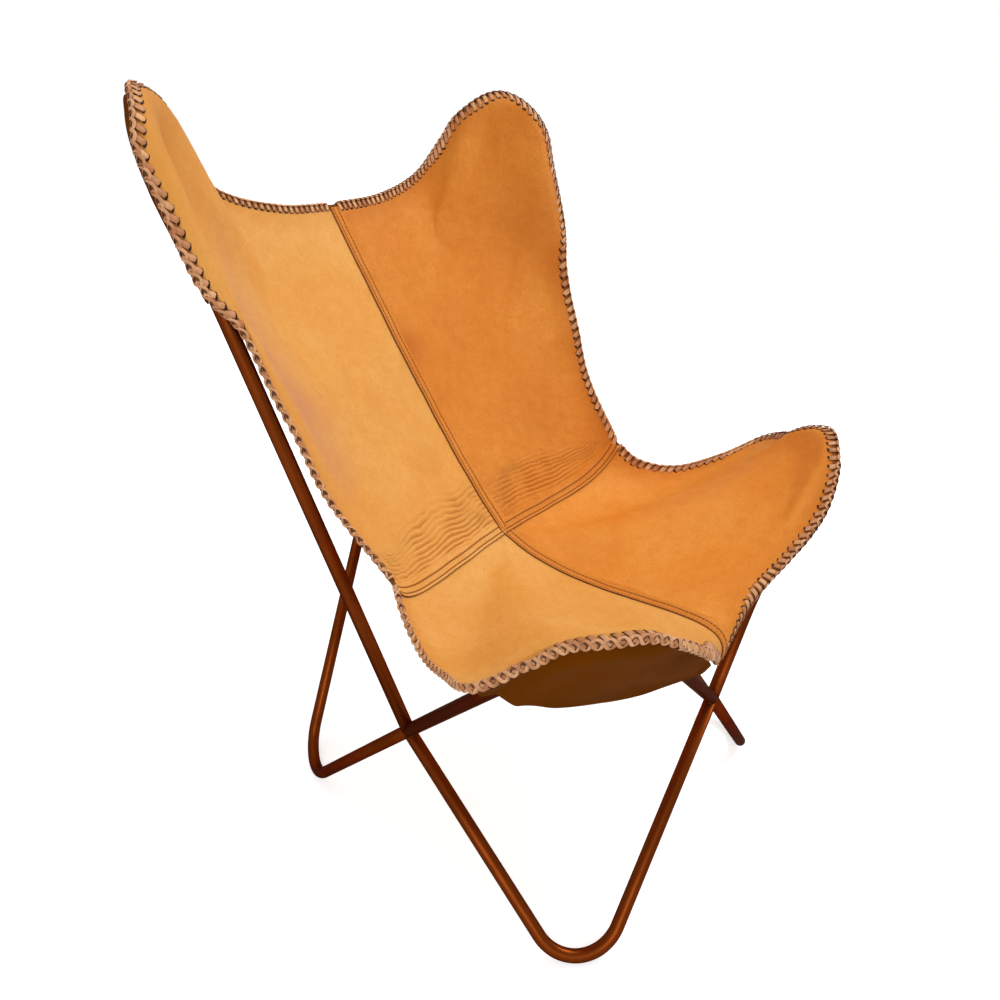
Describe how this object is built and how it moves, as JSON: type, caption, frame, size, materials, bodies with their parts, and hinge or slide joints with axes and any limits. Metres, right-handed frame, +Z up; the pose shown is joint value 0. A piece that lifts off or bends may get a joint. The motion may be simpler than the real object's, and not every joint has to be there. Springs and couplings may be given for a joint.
{
  "type": "butterfly sling chair",
  "caption": "Butterfly lounge chair: a sling of laced leather panels hung by ear pockets from a knock-down frame of bent tube bows.",
  "frame": {"origin": "middle of the chair's outline on the floor", "axes": "+X to the right as seen from in front of the chair's back, mirror plane at X = 0; the sitter faces -Y; +Z up"},
  "size_m": [0.8038, 0.7034, 0.9259],
  "materials": {
    "tube": "glossy brown powder coat, darker in the corners",
    "cross": "plain steel, hidden inside the crossings",
    "leather_light": "light tan vegetable-tanned hide, satin, with grain and creases",
    "leather_deep": "deeper tan vegetable-tanned hide, satin, with grain and creases",
    "leather_underside": "matt brown flesh side",
    "lacing": "pale pinkish-tan thong, whipstitched"
  },
  "bodies": {
    "root": {"ear_bow_back_left": "tube", "ear_bow_back_right": "tube", "ear_bow_front_left": "tube", "ear_bow_front_right": "tube", "floor_bow_front_left": "tube", "floor_bow_front_right": "tube", "floor_bow_back_left": "tube", "floor_bow_back_right": "tube", "joint_cross_side_left": "cross", "joint_cross_side_right": "cross", "joint_cross_front": "cross", "joint_cross_back": "cross", "panel_back_left": "leather_light", "panel_back_right": "leather_deep", "ear_pocket_back_left": "leather_underside", "ear_pocket_back_right": "leather_underside", "edge_lacing_back_left": "lacing", "edge_lacing_back_right": "lacing", "panel_front_left": "leather_light", "panel_front_right": "leather_deep", "ear_pocket_front_left": "leather_underside", "ear_pocket_front_right": "leather_underside", "edge_lacing_front_left": "lacing", "edge_lacing_front_right": "lacing", "seam_strap_back": "leather_light", "seam_strap_front": "leather_light", "seam_strap_left": "leather_light", "seam_strap_right": "leather_deep"}
  },
  "joints": []
}
